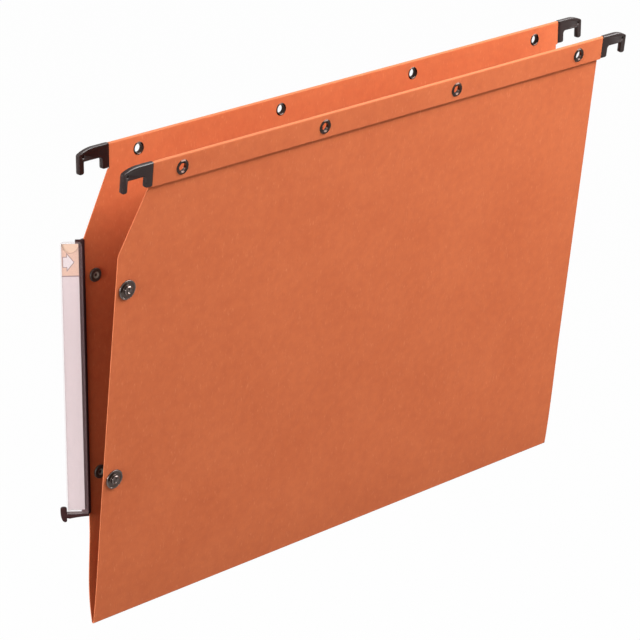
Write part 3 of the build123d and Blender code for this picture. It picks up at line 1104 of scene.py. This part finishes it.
class FOLDER_OT_stage(bpy.types.Operator):
    """Set the floor, the lamps and the camera"""

    bl_idname = "folder.stage"
    bl_label = "Stage"

    def execute(self, context):
        stage = context.scene.folder_stage
        self.lay_floor(stage)
        self.light_world(stage)
        self.hang_lamps()
        self.set_camera(stage)
        context.scene.view_settings.view_transform = "Standard"
        return {"FINISHED"}

    def seen(self, tree):
        """1 for rays that come from the camera, a gloss or a clear piece, and 0 for the rest."""
        path = tree.nodes.new("ShaderNodeLightPath")
        total = path.outputs["Is Camera Ray"]
        for name in ("Is Glossy Ray", "Is Transmission Ray"):
            either = tree.nodes.new("ShaderNodeMath")
            either.operation = "MAXIMUM"
            tree.links.new(total, either.inputs[0])
            tree.links.new(path.outputs[name], either.inputs[1])
            total = either.outputs["Value"]
        return total

    def lay_floor(self, stage):
        """A pale floor that is white to the eye and still takes a faint shadow."""
        level = crease.z - card_top - stage.floor_room
        bpy.ops.object.select_all(action="DESELECT")
        bpy.ops.mesh.primitive_plane_add(size=stage.floor_size, location=(0, 0, level))
        floor = bpy.context.object
        floor.name = "floor"
        finish = Finish("pale_floor", (stage.floor_grey,) * 3, roughness=0.9)
        tree = finish.tree
        glow = finish.node("Emission", {"Color": (1, 1, 1, 1), "Strength": 1.0})
        white = finish.sum(self.seen(tree), stage.floor_glow, "MULTIPLY")
        shaders = {1: finish.shader.outputs["BSDF"], 2: glow.outputs["Emission"]}
        mix = finish.node("MixShader", {"Fac": white, **shaders})
        tree.links.new(mix.outputs["Shader"], tree.nodes["Material Output"].inputs["Surface"])
        finish_piece(floor, finish.material)

    def light_world(self, stage):
        """Even light from all round, in front of a white background."""
        world = bpy.data.worlds.new("studio")
        bpy.context.scene.world = world
        world.use_nodes = True
        tree = world.node_tree
        ambient = tree.nodes["Background"]
        ambient.inputs["Color"].default_value = (1, 1, 1, 1)
        ambient.inputs["Strength"].default_value = stage.ambient
        white = tree.nodes.new("ShaderNodeBackground")
        white.inputs["Color"].default_value = (1, 1, 1, 1)
        mix = tree.nodes.new("ShaderNodeMixShader")
        tree.links.new(self.seen(tree), mix.inputs["Fac"])
        tree.links.new(ambient.outputs["Background"], mix.inputs[1])
        tree.links.new(white.outputs["Background"], mix.inputs[2])
        tree.links.new(mix.outputs["Shader"], tree.nodes["World Output"].inputs["Surface"])

    def hang_lamps(self):
        """A long soft key in front, a fill from the left, a small side light and one for the back."""
        middle = (Vector(cad_low) + Vector(cad_high)) / 2
        for name, lamp in LAMPS.items():
            light = bpy.data.lights.new(name, "AREA")
            light.shape = "RECTANGLE"
            light.size = lamp.long
            light.size_y = lamp.wide
            light.energy = lamp.power
            holder = bpy.data.objects.new(name, light)
            bpy.context.scene.collection.objects.link(holder)
            holder.location = middle + Vector(lamp.offset)
            holder.rotation_euler = self.aim(Vector(lamp.offset))

    def aim(self, offset):
        """The turn of a lamp that looks back along its offset, with its long side along the rails."""
        away = offset.normalized()
        side = (along - along.dot(away) * away).normalized()
        return Matrix((side, away.cross(side), away)).transposed().to_euler()

    def set_camera(self, stage):
        """A camera at the photographed angle."""
        away = Vector(
            (
                math.sin(stage.azimuth) * math.cos(stage.elevation),
                -math.cos(stage.azimuth) * math.cos(stage.elevation),
                math.sin(stage.elevation),
            )
        )
        lens = bpy.data.cameras.new("camera")
        lens.lens = stage.lens
        camera = bpy.data.objects.new("camera", lens)
        bpy.context.scene.collection.objects.link(camera)
        camera.location = Vector((stage.target_x, 0, stage.target_z)) + stage.distance * away
        turn = (-away).to_track_quat("-Z", "Y").to_matrix() @ Matrix.Rotation(stage.roll, 3, "Z")
        camera.rotation_euler = turn.to_euler()
        bpy.context.scene.camera = camera


class FOLDER_PT_panel(bpy.types.Panel):
    """The folder's pieces in the order in which they are made, and their sizes and colours"""

    bl_label = "Hanging file folder"
    bl_idname = "FOLDER_PT_panel"
    bl_space_type = "VIEW_3D"
    bl_region_type = "UI"
    bl_category = "Folder"

    def draw(self, context):
        for operator in operators:
            self.layout.operator(operator.bl_idname)
        for name, kind in groups.items():
            for field in kind.__annotations__:
                self.layout.prop(getattr(context.scene, name), field)


operators = (
    FOLDER_OT_card,
    FOLDER_OT_rails,
    FOLDER_OT_hooks,
    FOLDER_OT_eyelets,
    FOLDER_OT_fasteners,
    FOLDER_OT_holder,
    FOLDER_OT_label,
    FOLDER_OT_stage,
)
groups = {
    "folder_sizes": FolderSizes,
    "folder_colours": FolderColours,
    "folder_stage": FolderStage,
}


def register():
    """Add the classes and their properties."""
    for kind in (*groups.values(), *operators, FOLDER_PT_panel):
        bpy.utils.register_class(kind)
    for name, kind in groups.items():
        setattr(bpy.types.Scene, name, bpy.props.PointerProperty(type=kind))


def unregister():
    """Take the classes and their properties away again."""
    for name in groups:
        delattr(bpy.types.Scene, name)
    for kind in reversed((*groups.values(), *operators, FOLDER_PT_panel)):
        bpy.utils.unregister_class(kind)


def main():
    """Register the classes, then make the pieces in order and set the stage."""
    register()
    bpy.ops.folder.card()
    bpy.ops.folder.rails()
    bpy.ops.folder.hooks()
    bpy.ops.folder.eyelets()
    bpy.ops.folder.fasteners()
    bpy.ops.folder.holder()
    bpy.ops.folder.label()
    bpy.ops.folder.stage()


if __name__ == "__main__":
    main()
